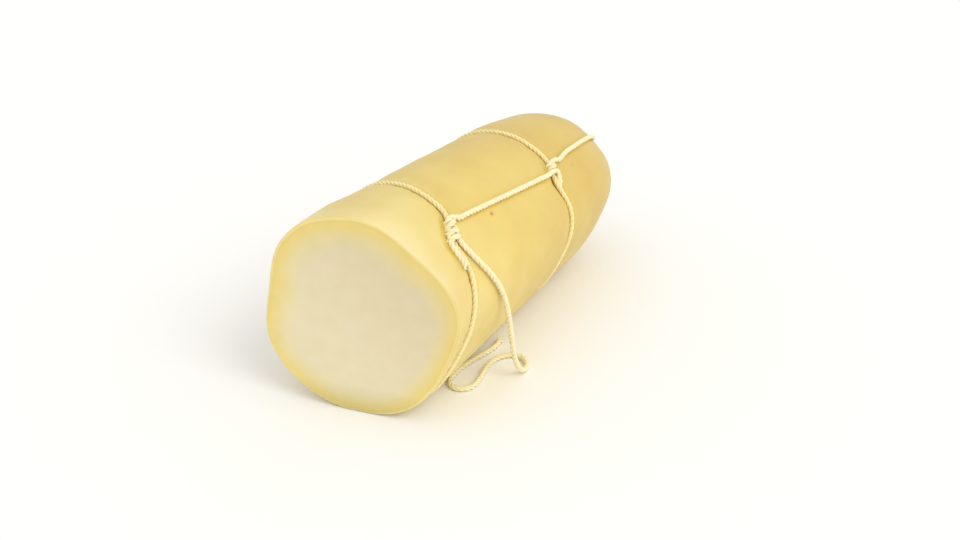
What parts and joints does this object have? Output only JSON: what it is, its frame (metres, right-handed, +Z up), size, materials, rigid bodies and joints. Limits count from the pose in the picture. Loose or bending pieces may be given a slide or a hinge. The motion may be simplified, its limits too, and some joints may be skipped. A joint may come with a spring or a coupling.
{
  "type": "provolone cheese",
  "caption": "Log-shaped provolone cheese with a domed far end, cut across at the front, tied lengthwise and round with twine whose loose end trails on the table.",
  "frame": {"origin": "on the surface it lies on, under the middle of the log and the twine bound round it", "axes": "+Z up, +Y along the log from its cut face to its domed far end, +X towards the side where the loose end of the twine hangs"},
  "size_m": [0.1066, 0.2497, 0.1061],
  "materials": {
    "cheese": "smooth satin rind, matte ivory cut face",
    "twine": "twisted cotton twine"
  },
  "bodies": {
    "root": {"cheese": "cheese", "twine_girth_front": "twine", "twine_girth_rear": "twine", "twine_run_top": "twine", "twine_run_back": "twine", "twine_tail": "twine"}
  },
  "joints": []
}
